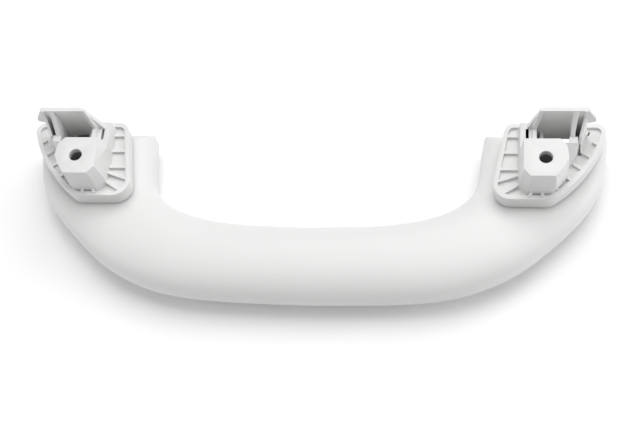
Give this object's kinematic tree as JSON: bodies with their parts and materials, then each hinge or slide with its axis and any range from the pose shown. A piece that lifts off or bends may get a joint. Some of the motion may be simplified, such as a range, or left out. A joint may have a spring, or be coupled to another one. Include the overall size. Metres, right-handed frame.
{
  "type": "folding roof grab handle",
  "caption": "C-shaped folding grab handle for a vehicle roof: a smooth grip sprung on ribbed screw-fixed end brackets with snap towers.",
  "frame": {"origin": "midway between the two screw holes, on the bracket faces that meet the roof rail", "axes": "+X along the handle to the spring end, +Y from the grip bar to the hinges, +Z out of the bracket faces towards the roof"},
  "size_m": [0.2416, 0.0768, 0.0437],
  "materials": {
    "grip_plastic": "light warm grey, fine satin grain",
    "bracket_plastic": "light grey, plain moulded",
    "cap_plastic": "light grey, fine grain",
    "damper_plastic": "black, moulded",
    "rotor_plastic": "natural acetal",
    "seal_rubber": "black",
    "pin_steel": "ground steel",
    "spring_steel": "drawn spring wire"
  },
  "bodies": {
    "brackets": {"left_bracket": "bracket_plastic", "right_bracket": "bracket_plastic", "return_spring": "spring_steel", "damper_housing": "damper_plastic", "damper_seal": "seal_rubber", "damper_cover": "damper_plastic", "left_screw_cap": "cap_plastic", "right_screw_cap": "cap_plastic"},
    "folding_grip": {"grip": "grip_plastic", "left_hinge_pin": "pin_steel", "right_hinge_pin": "pin_steel", "damper_rotor": "rotor_plastic"}
  },
  "joints": [
    {"name": "grip_fold", "type": "hinge", "parent": "brackets", "child": "folding_grip", "pos_m": [0, 0.0155, -0.0289], "axis": [1, 0, 0], "range_deg": [0, 90], "stiffness_Nm_per_rad": 0.04, "springref_deg": -114.59, "deforming": ["return_spring"]}
  ]
}
